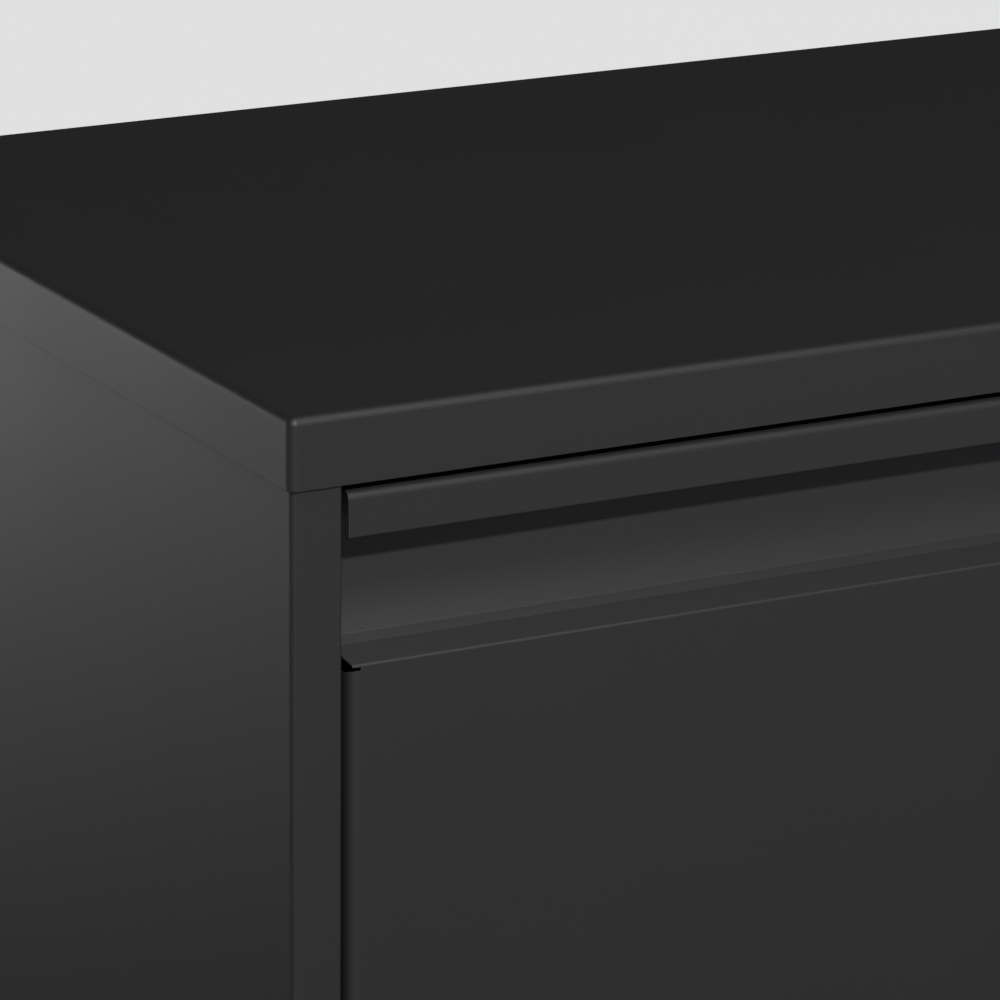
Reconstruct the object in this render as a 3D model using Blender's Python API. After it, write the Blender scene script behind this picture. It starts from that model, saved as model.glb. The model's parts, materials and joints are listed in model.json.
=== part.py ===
"""Two-drawer lateral filing cabinet in folded sheet steel.

Metres, +Z up, the front faces -Y, and the origin is the centre of the footprint on the floor.
The case is a folded cap over two wrapped side panels, with slotted uprights, a deck and rails
inside. Each drawer is a folded front with a full-width recessed pull, a folded box behind it
and a pair of three-part ball slides. A cylinder lock drives a bar with one lug for each drawer.
"""

import math

import bmesh
import bpy
from mathutils import Matrix, Vector

# Overall size
WIDTH = 0.9144
BODY_DEPTH = 0.4572
HEIGHT = 0.7207
LOCK_PROUD = 0.0020

# Sheet and fits
SHEET = 0.0009
GAP = 0.0003
BEND_STEPS = 3
HEM_STEPS = 6
STEP_TURN = 25

# Cap and case
APRON = 0.0275
CAP_PROUD = 0.0014
CAP_RADIUS = 0.0034
CASE_BOTTOM = 0.0120
POST_WIDTH = 0.0204
POST_RETURN = 0.0200
POST_RADIUS = 0.0023
POST_INNER_RADIUS = 0.0012
POST_FLANGE = 0.0060
REAR_RADIUS = 0.0023
REAR_FLANGE = 0.0150
DECK_TOP = 0.0460
DECK_FLANGE = 0.0250
DECK_BACK_GAP = 0.0030
RAIL_DEPTH = 0.0190
BASE_RAIL_TOP = 0.0539
MID_RAIL_HEIGHT = 0.0200
MID_RAIL_DEPTH = 0.0260
TOP_RAIL_RISE = 0.0010
INNER_RADIUS = 0.0020
RIB_DEPTH = 0.0030
RIB_X = 0.1500
RIB_WIDTHS = (0.0120, 0.0060)

# Drawer fronts
DRAWER_TOP_DROP = 0.0304
DRAWER_GAP = 0.0034
FRONT_HEIGHT = 0.3150
FRONT_HALF_WIDTH = 0.4330
LIP_HEIGHT = 0.0183
LIP_RADIUS = 0.0036
HEM_RADIUS = 0.0013
HEM_HEIGHT = 0.0080
FACE_TOP_DROP = 0.0664
FACE_RADIUS = 0.0014
EDGE_RADIUS = 0.0052
BOTTOM_RADIUS = 0.0020
LEDGE_DEPTH = 0.0128
LEDGE_SLOPE = 30.0
SET_RUN = 0.0045
SET_TURN = 9.0
SET_RADIUS = 0.0010
CREASE_RADIUS = 0.0012
WALL_FOOT = 66.0
WALL_LEAN = 6.0
WALL_RADIUS = 0.0600
WEB_RADIUS = 0.0030
SIDE_RETURN = 0.0240
BOTTOM_RETURN = 0.0160
CORNER_RELIEF = 0.0010
CORNER_CUT = 0.0018
CUT_SLOPE = 0.25
CUT_TOP = 0.0200
FLARE_START = 0.0008
FLARE_END = 0.0040

# Drawer boxes
BOX_FRONT = 0.0312
BOX_BACK = 0.4390
BOX_HALF_WIDTH = 0.4204
BOX_RISE = 0.0120
BOX_HEIGHT = 0.2500
BOX_FLANGE = 0.0120
BOX_RADIUS = 0.0018
BOX_FOOT = 0.0080
TRAY_RISE = 0.0100
FILE_RAIL_SHEET = 0.0015
FILE_RAIL_RADIUS = 0.0020
FILE_RAIL_CURL = 0.0050
FILE_RAIL_HEIGHT = 0.0220
FILE_RAIL_RISE = 0.0120
BUMPER_RADIUS = 0.0070
BUMPER_LENGTH = 0.0090
BUMPER_X = 0.3300
BUMPER_SHOULDER = 0.6
BUMPER_TIP = 0.7

# Slides
SLIDE_SHEET = 0.0012
SLIDE_RADIUS = 0.0030
SLIDE_FRONT = 0.0420
SLIDE_LENGTH = 0.4000
SLIDE_OUTER_X = 0.4342
SLIDE_HEIGHT = 0.0457
SLIDE_RISE = 0.0850
SLIDE_REACH = 0.0115
MIDDLE_WEB_DROP = 0.0018
MIDDLE_TIP_DROP = 0.0008
INNER_REACH = 0.0088
BALL = 0.0020
MEMBER_FRONT = 0.0460
MEMBER_LENGTH = 0.3900

# Uprights
UPRIGHT_INNER_X = 0.4345
UPRIGHT_DEPTH = 0.0300
UPRIGHT_FRONT = 0.0440
UPRIGHT_REAR = 0.4050
SLOT_PITCH = 0.0762
SLOT_ROWS = 8
SLOT_RISE = 0.0550
SLOT_SIZE = (0.0045, 0.0140)

# Lock
LOCK_X = 0.4000
LOCK_DROP = 0.0135
LOCK_BARREL_RADIUS = 0.0080
LOCK_FLANGE_RADIUS = 0.0096
LOCK_BORE_RADIUS = 0.0053
PLUG_RADIUS = 0.0050
BARREL_BACK = 0.0320
CAM_RADIUS = 0.0060
CAM_FRONT = 0.0339
CAM_THICKNESS = 0.0018
PIN_RADIUS = 0.0015
BAR_FRONT = 0.0362
BAR_THICKNESS = 0.0025
BAR_X = (0.4410, 0.4500)
CATCH_FRONT = 0.0395
CATCH_DROP_FROM_BOX_TOP = 0.0313
CATCH_HEIGHT = 0.0160
LUG_CLEARANCE = 0.0030
LUG_HEIGHT = 0.0060
LUG_REACH = 0.0170
BAR_TAIL = 0.0100
ARM_REACH = 0.0075
ARM_RISE = 0.0054
SLOT_PLAY = 0.0006
PIN_LEAD = 0.0017
KEYWAY = (0.0014, 0.0068, 0.0060)
EDGE_BREAK = 0.0008
CATCH_SHEET = 0.0018
CATCH_REACH = 0.0123
CATCH_LENGTH = 0.0305

# Levelling glides and counterweight
GLIDE_X = 0.4050
GLIDE_DEPTHS = (0.0600, 0.3850)
GLIDE_FOOT_RADIUS = 0.0160
GLIDE_FOOT_HEIGHT = 0.0090
FOOT_BREAK = 0.0015
FOOT_NECK_RADIUS = 0.0090
GLIDE_STEM_RADIUS = 0.0050
GLIDE_STEM_TOP = 0.0620
NUT_RADIUS = 0.0110
NUT_HEIGHT = 0.0100
COUNTERWEIGHT = (0.7000, 0.0400, 0.0160)
COUNTERWEIGHT_DEPTH = 0.3980

Y_FRONT = -(BODY_DEPTH + LOCK_PROUD) / 2 + LOCK_PROUD
SIDE_X = WIDTH / 2 - CAP_PROUD
CAP_UNDERSIDE = HEIGHT - SHEET - GAP
PANEL_TOP = HEIGHT - CAP_RADIUS
BACK_DEPTH = BODY_DEPTH - CAP_PROUD
POST_INNER_X = SIDE_X - POST_WIDTH
UPPER_TOP = HEIGHT - DRAWER_TOP_DROP
PITCH = FRONT_HEIGHT + DRAWER_GAP
LOCK_Z = HEIGHT - LOCK_DROP

PAINT = ("cabinet_paint", (0.030, 0.030, 0.032), 0.42, 0.0)
INNER_PAINT = ("inner_paint", (0.034, 0.034, 0.036), 0.50, 0.0)
ZINC = ("zinc_plate", (0.56, 0.57, 0.58), 0.36, 1.0)
SLIDE_ZINC = ("slide_zinc", (0.62, 0.63, 0.64), 0.30, 1.0)
CHROME = ("lock_chrome", (0.72, 0.72, 0.73), 0.16, 1.0)
NYLON = ("glide_nylon", (0.020, 0.020, 0.020), 0.60, 0.0)
RUBBER = ("bumper_rubber", (0.028, 0.028, 0.028), 0.85, 0.0)
BLACK_IRON = ("raw_steel", (0.16, 0.15, 0.14), 0.65, 1.0)


def clear_scene():
    for obj in list(bpy.data.objects):
        bpy.data.objects.remove(obj, do_unlink=True)


def depth(distance):
    """World Y of a point this far behind the front of the cap."""
    return Y_FRONT + distance


def finish_material(finish):
    name, color, roughness, metallic = finish
    material = bpy.data.materials.get(name)
    if material:
        return material
    material = bpy.data.materials.new(name)
    material.use_nodes = True
    shader = material.node_tree.nodes["Principled BSDF"]
    shader.inputs["Base Color"].default_value = (*color, 1.0)
    shader.inputs["Roughness"].default_value = roughness
    shader.inputs["Metallic"].default_value = metallic
    return material


def add_object(name, bm, finish, parent=None, origin=None):
    """Makes an object from world-space geometry, with its origin at the given world point."""
    bmesh.ops.remove_doubles(bm, verts=bm.verts, dist=1e-6)
    origin = Vector(origin) if origin else (parent.location.copy() if parent else Vector())
    bmesh.ops.translate(bm, verts=bm.verts, vec=-origin)
    mesh = bpy.data.meshes.new(name)
    bm.to_mesh(mesh)
    bm.free()
    obj = bpy.data.objects.new(name, mesh)
    bpy.context.scene.collection.objects.link(obj)
    mesh.materials.append(finish_material(finish))
    mesh.shade_smooth()
    mesh.set_sharp_from_angle(angle=math.radians(35))
    obj.location = origin - parent.location if parent else origin
    obj.parent = parent
    return obj


def add_axis(name, location):
    """An empty on the axis of a moving body, which carries that body's pieces."""
    empty = bpy.data.objects.new(name, None)
    empty.empty_display_size = 0.03
    empty.location = location
    bpy.context.scene.collection.objects.link(empty)
    return empty


def trace(start, heading, moves):
    """Points of a 2-D path: ('go', length) runs straight and ('bend', degrees, radius) turns left."""
    points = [Vector(start)]
    angle = math.radians(heading)
    for move in moves:
        if move[0] == "go":
            points.append(points[-1] + move[1] * Vector((math.cos(angle), math.sin(angle))))
            continue
        turn = math.radians(move[1])
        steps = HEM_STEPS if abs(move[1]) > 120 else max(BEND_STEPS, round(abs(move[1]) / STEP_TURN))
        chord = 2 * move[2] * math.sin(abs(turn) / steps / 2)
        for step in range(steps):
            middle = angle + turn * (step + 0.5) / steps
            points.append(points[-1] + chord * Vector((math.cos(middle), math.sin(middle))))
        angle += turn
    return points


def thicken(path, thickness):
    """Outline of a sheet whose left face is the path: thickness lies to the right of travel."""
    offset = []
    for index, point in enumerate(path):
        before = (point - path[index - 1]).normalized() if index else None
        after = (path[index + 1] - point).normalized() if index + 1 < len(path) else None
        before = before or after
        after = after or before
        normal = Vector((before.y + after.y, -before.x - after.x)).normalized()
        scale = 1 / max(normal.dot(Vector((after.y, -after.x))), 0.3)
        offset.append(point + thickness * scale * normal)
    return path + offset[::-1]


def extrude_outline(outline, frame, low, high):
    """Prism of a 2-D outline: frame gives the 3-D directions of the outline's axes and of the run."""
    first, second, run = (Vector(axis) for axis in frame)
    bm = bmesh.new()
    ring = [bm.verts.new(p[0] * first + p[1] * second + low * run) for p in outline]
    face = bm.faces.new(ring)
    extruded = bmesh.ops.extrude_face_region(bm, geom=[face])
    moved = [item for item in extruded["geom"] if isinstance(item, bmesh.types.BMVert)]
    bmesh.ops.translate(bm, verts=moved, vec=(high - low) * run)
    bmesh.ops.recalc_face_normals(bm, faces=bm.faces)
    return bm


def along_x(outline, low, high):
    return extrude_outline(outline, ((0, 1, 0), (0, 0, 1), (1, 0, 0)), low, high)


def along_y(outline, low, high, side=1):
    return extrude_outline(outline, ((side, 0, 0), (0, 0, 1), (0, 1, 0)), low, high)


def along_z(outline, low, high, side=1):
    return extrude_outline(outline, ((side, 0, 0), (0, 1, 0), (0, 0, 1)), low, high)


def turn_profile(profile, centre, axis, segments=32):
    """Solid of revolution of a closed profile of (radius, height) points about an axis."""
    bm = bmesh.new()
    ring = [bm.verts.new((radius, 0, height)) for radius, height in profile]
    edges = [bm.edges.new((ring[i - 1], ring[i])) for i in range(len(ring))]
    bmesh.ops.spin(
        bm, geom=ring + edges, cent=(0, 0, 0), axis=(0, 0, 1), angle=2 * math.pi, steps=segments
    )
    bmesh.ops.remove_doubles(bm, verts=bm.verts, dist=1e-6)
    bmesh.ops.dissolve_degenerate(bm, edges=bm.edges, dist=1e-7)
    turned = Vector((0, 0, 1)).rotation_difference(Vector(axis)).to_matrix().to_4x4()
    bmesh.ops.transform(bm, matrix=Matrix.Translation(centre) @ turned, verts=bm.verts)
    bmesh.ops.recalc_face_normals(bm, faces=bm.faces)
    return bm


def box_mesh(low, high, bm=None):
    bm = bm or bmesh.new()
    low, high = Vector(low), Vector(high)
    place = Matrix.Translation((low + high) / 2) @ Matrix.Diagonal((*(high - low), 1))
    bmesh.ops.create_cube(bm, size=1, matrix=place)
    return bm


def bars_mesh(boxes):
    bm = bmesh.new()
    for low, high in boxes:
        box_mesh(low, high, bm)
    return bm


def rods_mesh(centres, axis, radius, low, high, segments=24):
    """Several parallel rods in one mesh, from low to high along a world axis."""
    bm = bmesh.new()
    turned = Vector((0, 0, 1)).rotation_difference(Vector(axis)).to_matrix().to_4x4()
    for centre in centres:
        place = Matrix.Translation(Vector(centre) + Vector(axis) * (low + high) / 2) @ turned
        bmesh.ops.create_cone(
            bm, segments=segments, radius1=radius, radius2=radius, depth=high - low,
            cap_ends=True, matrix=place
        )
    return bm


def combine(obj, name, bm, operation):
    """Adds a Boolean to the object, with a hidden helper made from the mesh."""
    helper = add_object(name, bm, BLACK_IRON, obj.parent)
    helper.hide_render = True
    helper.display_type = "WIRE"
    boolean = obj.modifiers.new(name, "BOOLEAN")
    boolean.operation = operation
    boolean.solver = "EXACT"
    boolean.object = helper


def solidify_sheet(obj):
    """Gives a surface the sheet's thickness, behind its outer face."""
    solidify = obj.modifiers.new("sheet", "SOLIDIFY")
    solidify.thickness = SHEET
    solidify.offset = -1
    solidify.use_even_offset = True


def make_cap():
    """Cap: a flat top with an apron folded down on all four sides, open underneath."""
    bm = box_mesh((-WIDTH / 2, depth(0), HEIGHT - APRON), (WIDTH / 2, depth(BODY_DEPTH), HEIGHT))
    floor = min(bm.faces, key=lambda face: face.calc_center_median().z)
    bmesh.ops.delete(bm, geom=[floor], context="FACES_ONLY")
    folds = [edge for edge in bm.edges if len(edge.link_faces) == 2]
    bmesh.ops.bevel(
        bm, geom=folds, offset=CAP_RADIUS, segments=BEND_STEPS, profile=0.5, affect="EDGES"
    )
    cap = add_object("top_cap", bm, PAINT)
    solidify_sheet(cap)
    lock_hole = rods_mesh(
        [(LOCK_X, 0, LOCK_Z)], (0, 1, 0), LOCK_BARREL_RADIUS + GAP, depth(-APRON), depth(APRON)
    )
    combine(cap, "cap_lock_hole", lock_hole, "DIFFERENCE")


def make_side_panel(name, side):
    """Side panel wrapped round the front as a post and round the back as a flange."""
    long_run = BACK_DEPTH - CAP_PROUD - REAR_RADIUS - POST_RADIUS
    moves = [
        ("go", REAR_FLANGE - REAR_RADIUS),
        ("bend", 90, REAR_RADIUS - SHEET),
        ("go", long_run),
        ("bend", 90, POST_RADIUS - SHEET),
        ("go", POST_WIDTH - POST_RADIUS - POST_INNER_RADIUS),
        ("bend", 90, POST_INNER_RADIUS - SHEET),
        ("go", POST_RETURN - 2 * POST_INNER_RADIUS),
        ("bend", 90, POST_INNER_RADIUS - SHEET),
        ("go", POST_FLANGE),
    ]
    # The path is the inner face, so the panel is traced with its outer face to the right.
    start = (-(SIDE_X - REAR_FLANGE), depth(BACK_DEPTH - SHEET))
    path = trace(start, 180, moves)
    bm = along_z(thicken(path, SHEET), CASE_BOTTOM, PANEL_TOP, -side)
    add_object(name, bm, PAINT)


def make_back_panel():
    """Back panel, with two shallow vertical ribs pressed inwards."""
    face = BACK_DEPTH - SHEET - GAP
    half = SIDE_X - REAR_RADIUS - GAP
    foot, crest = RIB_WIDTHS
    rib = [(-foot, 0), (-crest, -RIB_DEPTH), (crest, -RIB_DEPTH), (foot, 0)]
    corners = [(-half, 0)] + [(x - RIB_X, y) for x, y in rib]
    corners += [(-x, y) for x, y in reversed(corners)]
    path = [Vector((x, depth(face) + y)) for x, y in corners]
    bm = along_z(thicken(path, SHEET), CASE_BOTTOM, PANEL_TOP)
    add_object("back_panel", bm, PAINT)


def make_bottom_panel():
    """Deck with front and back flanges turned down, and the glides' nuts welded under it."""
    front = CAP_PROUD + POST_RETURN + 2 * GAP
    run = BACK_DEPTH - 2 * SHEET - 4 * GAP - front - DECK_BACK_GAP
    moves = [
        ("go", DECK_FLANGE - INNER_RADIUS),
        ("bend", -90, INNER_RADIUS),
        ("go", run - 2 * INNER_RADIUS),
        ("bend", -90, INNER_RADIUS),
        ("go", DECK_FLANGE - INNER_RADIUS),
    ]
    path = trace((depth(front), DECK_TOP - DECK_FLANGE), 90, moves)
    half = SIDE_X - SHEET - GAP
    deck = add_object("bottom_panel", along_x(thicken(path, SHEET), -half, half), INNER_PAINT)
    spots = [(side * GLIDE_X, depth(back), 0) for side in (-1, 1) for back in GLIDE_DEPTHS]
    nuts = rods_mesh(spots, (0, 0, 1), NUT_RADIUS, DECK_TOP - NUT_HEIGHT, DECK_TOP - SHEET / 2, 6)
    combine(deck, "deck_nuts", nuts, "UNION")
    holes = rods_mesh(spots, (0, 0, 1), GLIDE_STEM_RADIUS + 2 * GAP, 0.0, 0.1)
    combine(deck, "deck_holes", holes, "DIFFERENCE")


def c_rail(name, low, high, front, back, half, finish):
    """Rail along X, a channel open to the back, between two heights."""
    moves = [
        ("go", back - front - INNER_RADIUS),
        ("bend", -90, INNER_RADIUS),
        ("go", high - low - 2 * INNER_RADIUS),
        ("bend", -90, INNER_RADIUS),
        ("go", back - front - INNER_RADIUS),
    ]
    path = trace((depth(back), low), 180, moves)
    return add_object(name, along_x(thicken(path, SHEET), -half, half), finish)


def make_rails():
    half = POST_INNER_X - GAP
    post_front = CAP_PROUD
    c_rail("base_front_rail", CASE_BOTTOM, BASE_RAIL_TOP, post_front, RAIL_DEPTH, half, PAINT)
    top_low = HEIGHT - APRON + TOP_RAIL_RISE
    top_rail = c_rail(
        "top_front_rail", top_low, CAP_UNDERSIDE, post_front, RAIL_DEPTH, half, INNER_PAINT
    )
    barrel = rods_mesh(
        [(LOCK_X, 0, LOCK_Z)], (0, 1, 0), LOCK_BARREL_RADIUS + GAP, depth(-APRON), depth(APRON)
    )
    combine(top_rail, "rail_lock_hole", barrel, "DIFFERENCE")
    mid_high = UPPER_TOP - PITCH
    mid_half = UPRIGHT_INNER_X - 2 * GAP
    mid_back = UPRIGHT_FRONT + MID_RAIL_DEPTH
    mid_low = mid_high - MID_RAIL_HEIGHT
    c_rail("mid_rail", mid_low, mid_high, UPRIGHT_FRONT, mid_back, mid_half, INNER_PAINT)


def make_upright(name, side, front):
    """Slotted channel that the slides hook into, open towards the side panel."""
    outer = SIDE_X - SHEET - GAP
    reach = outer - UPRIGHT_INNER_X
    moves = [
        ("go", reach - INNER_RADIUS),
        ("bend", -90, INNER_RADIUS),
        ("go", UPRIGHT_DEPTH - 2 * INNER_RADIUS),
        ("bend", -90, INNER_RADIUS),
        ("go", reach - INNER_RADIUS),
    ]
    path = trace((outer, depth(front)), 180, moves)
    bm = along_z(thicken(path, SHEET), DECK_TOP + GAP, CAP_UNDERSIDE, side)
    upright = add_object(name, bm, INNER_PAINT)
    wide, tall = SLOT_SIZE
    middle = depth(front + UPRIGHT_DEPTH / 2)
    boxes = []
    near, far = UPRIGHT_INNER_X - SHEET, UPRIGHT_INNER_X + 3 * SHEET
    for row in range(SLOT_ROWS):
        z = DECK_TOP + SLOT_RISE + row * SLOT_PITCH
        ends = sorted((side * near, side * far))
        boxes.append(((ends[0], middle - wide / 2, z), (ends[1], middle + wide / 2, z + tall)))
    combine(upright, name + "_slots", bars_mesh(boxes), "DIFFERENCE")


def slide_channel(name, side, web_x, tip_x, half_height, z, front, length, parent):
    """One slide member: a channel with its web at web_x and its lips turned towards tip_x."""
    inward = web_x > tip_x
    reach = abs(web_x - tip_x) - SLIDE_RADIUS
    turn, radius = (-90, SLIDE_RADIUS) if inward else (90, SLIDE_RADIUS - SLIDE_SHEET)
    moves = [
        ("go", reach),
        ("bend", turn, radius),
        ("go", 2 * (half_height - SLIDE_RADIUS)),
        ("bend", turn, radius),
        ("go", reach),
    ]
    # The path keeps the metal on its right, so the outward-facing channel follows its inner face.
    start = (tip_x, z + half_height - (0 if inward else SLIDE_SHEET))
    outline = thicken(trace(start, 0 if inward else 180, moves), SLIDE_SHEET)
    bm = along_y(outline, depth(front), depth(front + length), side)
    origin = (side * (web_x + tip_x) / 2, depth(front), z) if parent is None else None
    return add_object(name, bm, SLIDE_ZINC, parent, origin)


def make_slides(drawer, box_bottom, motion):
    """Left and right slides of a drawer: fixed outer, travelling middle and inner members."""
    z = box_bottom + SLIDE_RISE
    outer_half = SLIDE_HEIGHT / 2
    middle_half = outer_half - SLIDE_SHEET - BALL
    inner_half = middle_half - SLIDE_SHEET - BALL
    outer_tip = SLIDE_OUTER_X - SLIDE_REACH
    middle_x = SLIDE_OUTER_X - MIDDLE_WEB_DROP
    inner_x = BOX_HALF_WIDTH + GAP
    for word, side in (("left", -1), ("right", 1)):
        name = f"{drawer}_slide_{{}}_{word}"
        slide_channel(
            name.format("outer"), side, SLIDE_OUTER_X, outer_tip, outer_half, z,
            SLIDE_FRONT, SLIDE_LENGTH, None
        )
        slide_channel(
            name.format("middle"), side, middle_x, outer_tip + MIDDLE_TIP_DROP, middle_half, z,
            MEMBER_FRONT, MEMBER_LENGTH, None
        )
        slide_channel(
            name.format("inner"), side, inner_x, inner_x + INNER_REACH, inner_half, z,
            MEMBER_FRONT, MEMBER_LENGTH, motion
        )


def tangent(radius, degrees):
    """Length that a bend takes from the straight run on each side of it."""
    return radius * math.tan(math.radians(degrees) / 2)


def pull_path():
    """Front's section above the face, from the face's top edge to the hem inside the lip.

    The plane is (depth, height), measured from the face's virtual top edge. The path is the
    side of the sheet that faces the user on the face, ledge and wall, so the sheet's thickness
    lies to the right of travel all the way.
    """
    back_slope = LEDGE_SLOPE + SET_TURN
    back_run = SET_RUN * math.cos(math.radians(back_slope))
    front_run = (LEDGE_DEPTH - back_run) / math.cos(math.radians(LEDGE_SLOPE))
    top_corner = tangent(FACE_RADIUS, 90 - LEDGE_SLOPE)
    set_corner = tangent(SET_RADIUS, SET_TURN)
    start = Vector((0, -top_corner))
    moves = [
        ("bend", LEDGE_SLOPE - 90, FACE_RADIUS),
        ("go", FLARE_START),
        ("go", FLARE_END - FLARE_START),
        ("go", front_run - top_corner - FLARE_END - set_corner),
        ("bend", SET_TURN, SET_RADIUS),
        ("go", SET_RUN - set_corner - tangent(CREASE_RADIUS, WALL_FOOT - back_slope)),
        ("bend", WALL_FOOT - back_slope, CREASE_RADIUS),
        ("bend", 90 - WALL_LEAN - WALL_FOOT, WALL_RADIUS),
    ]
    lean = math.radians(WALL_LEAN)
    wall = trace(start, 90, moves)[-1]
    rise = FACE_TOP_DROP - SHEET - WEB_RADIUS * (1 + math.sin(lean)) - wall.y
    moves += [("go", rise / math.cos(lean)), ("bend", 90 + WALL_LEAN, WEB_RADIUS)]
    web = trace(start, 90, moves)[-1]
    inner_lip_radius = LIP_RADIUS - SHEET
    moves += [
        ("go", web.x - SHEET - inner_lip_radius),
        ("bend", 90, inner_lip_radius),
        ("go", LIP_HEIGHT - LIP_RADIUS - HEM_RADIUS),
        ("bend", 180, HEM_RADIUS - SHEET),
        ("go", HEM_HEIGHT),
    ]
    return trace(start, 90, moves)


def add_flap(bm, row, steps):
    """Folds a flap off a row of vertices, one step after another, and returns its vertices."""
    made = []
    for step in steps:
        fresh = [bm.verts.new(vert.co + step) for vert in row]
        bm.faces.new((row[0], row[1], fresh[1], fresh[0]))
        made += fresh
        row = fresh
    return made


def path_steps(path, frame):
    """Steps of a flap in 3-D from a 2-D path and the directions of its two axes."""
    first, second = (Vector(axis) for axis in frame)
    moves = [after - before for before, after in zip(path, path[1:])]
    return [move.x * first + move.y * second for move in moves]


def make_drawer_front(drawer, top, motion):
    """Front folded from one sheet: face, side and bottom returns, ledge, wall, web and lip."""
    face_y = depth(CAP_PROUD)
    half = FRONT_HALF_WIDTH - EDGE_RADIUS
    pull = pull_path()
    face_edge = top - FACE_TOP_DROP
    face_low = top - FRONT_HEIGHT + BOTTOM_RADIUS
    side_low = face_low + CORNER_RELIEF
    side_top = face_edge - FACE_RADIUS - CORNER_RELIEF
    heights = (face_low, side_low, side_top, face_edge + pull[0].y)
    bm = bmesh.new()
    left, right = ([bm.verts.new((x, face_y, z)) for z in heights] for x in (-half, half))
    for index in range(len(heights) - 1):
        bm.faces.new((left[index], right[index], right[index + 1], left[index + 1]))
    for vert in add_flap(bm, (left[3], right[3]), path_steps(pull, ((0, 1, 0), (0, 0, 1)))):
        flare = (vert.co.y - face_y - FLARE_START) / (FLARE_END - FLARE_START)
        flare = 1 if vert.co.z > face_edge + CUT_TOP else min(1, max(0, flare))
        vert.co.x = math.copysign(FRONT_HALF_WIDTH - CORNER_CUT * (1 - flare), vert.co.x)
    side_path = trace((0, 0), 0, [("bend", 90, EDGE_RADIUS), ("go", SIDE_RETURN - EDGE_RADIUS)])
    returns = add_flap(bm, (left[1], left[2]), path_steps(side_path, ((-1, 0, 0), (0, 1, 0))))
    returns += add_flap(bm, (right[2], right[1]), path_steps(side_path, ((1, 0, 0), (0, 1, 0))))
    for vert in returns:
        if vert.co.z > side_low + CORNER_RELIEF:
            vert.co.z -= CUT_SLOPE * min(vert.co.y - face_y, EDGE_RADIUS)
    low_moves = [("bend", 90, BOTTOM_RADIUS), ("go", BOTTOM_RETURN - BOTTOM_RADIUS)]
    low_steps = path_steps(trace((0, 0), 0, low_moves), ((0, 0, -1), (0, 1, 0)))
    add_flap(bm, (right[0], left[0]), low_steps)
    front = add_object(f"{drawer}_front", bm, PAINT, motion)
    solidify_sheet(front)


def make_drawer_box(drawer, bottom, motion):
    """Box behind the front: liner, sides, bottom, back and the two folder rails."""
    top = bottom + BOX_HEIGHT
    behind_liner = BOX_FRONT + SHEET + GAP
    half = BOX_HALF_WIDTH
    radius = BOX_RADIUS
    liner = box_mesh((-half, depth(BOX_FRONT), bottom), (half, depth(BOX_FRONT + SHEET), top))
    add_object(f"{drawer}_inner_front", liner, INNER_PAINT, motion)
    back = box_mesh((-half, depth(BOX_BACK), bottom), (half, depth(BOX_BACK + SHEET), top))
    add_object(f"{drawer}_back", back, INNER_PAINT, motion)

    side_moves = [
        ("go", BOX_FLANGE - radius),
        ("bend", 90, radius - SHEET),
        ("go", BOX_HEIGHT - 2 * radius),
        ("bend", 90, radius - SHEET),
        ("go", BOX_FOOT - radius),
    ]
    side_path = trace((half - BOX_FLANGE, bottom + SHEET), 0, side_moves)
    for word, side in (("left", -1), ("right", 1)):
        outline = thicken(side_path, SHEET)
        bm = along_y(outline, depth(behind_liner), depth(BOX_BACK - GAP), side)
        add_object(f"{drawer}_side_{word}", bm, INNER_PAINT, motion)

    tray_run = BOX_BACK - behind_liner - 2 * GAP
    tray_moves = [
        ("go", TRAY_RISE - radius),
        ("bend", 90, radius - SHEET),
        ("go", tray_run - 2 * radius),
        ("bend", 90, radius - SHEET),
        ("go", TRAY_RISE - radius),
    ]
    tray_start = (depth(behind_liner + GAP + SHEET), bottom + SHEET + GAP + TRAY_RISE)
    tray = thicken(trace(tray_start, 270, tray_moves), SHEET)
    tray_half = half - SHEET - GAP
    add_object(f"{drawer}_bottom", along_x(tray, -tray_half, tray_half), INNER_PAINT, motion)

    rail_low = top + FILE_RAIL_RISE - FILE_RAIL_HEIGHT
    rail_half = half - BOX_FLANGE
    for word, y, outward in (("front", behind_liner, 1), ("rear", BOX_BACK - GAP, -1)):
        curl = [("bend", -180, FILE_RAIL_RADIUS), ("go", FILE_RAIL_CURL)]
        path = trace((0, 0), 90, [("go", FILE_RAIL_HEIGHT)] + curl)
        outline = thicken([Vector((p.x * outward, p.y)) for p in path], FILE_RAIL_SHEET * outward)
        outline = [p + Vector((depth(y), rail_low)) for p in outline]
        bm = along_x(outline, -rail_half, rail_half)
        add_object(f"{drawer}_folder_rail_{word}", bm, ZINC, motion)


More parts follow.
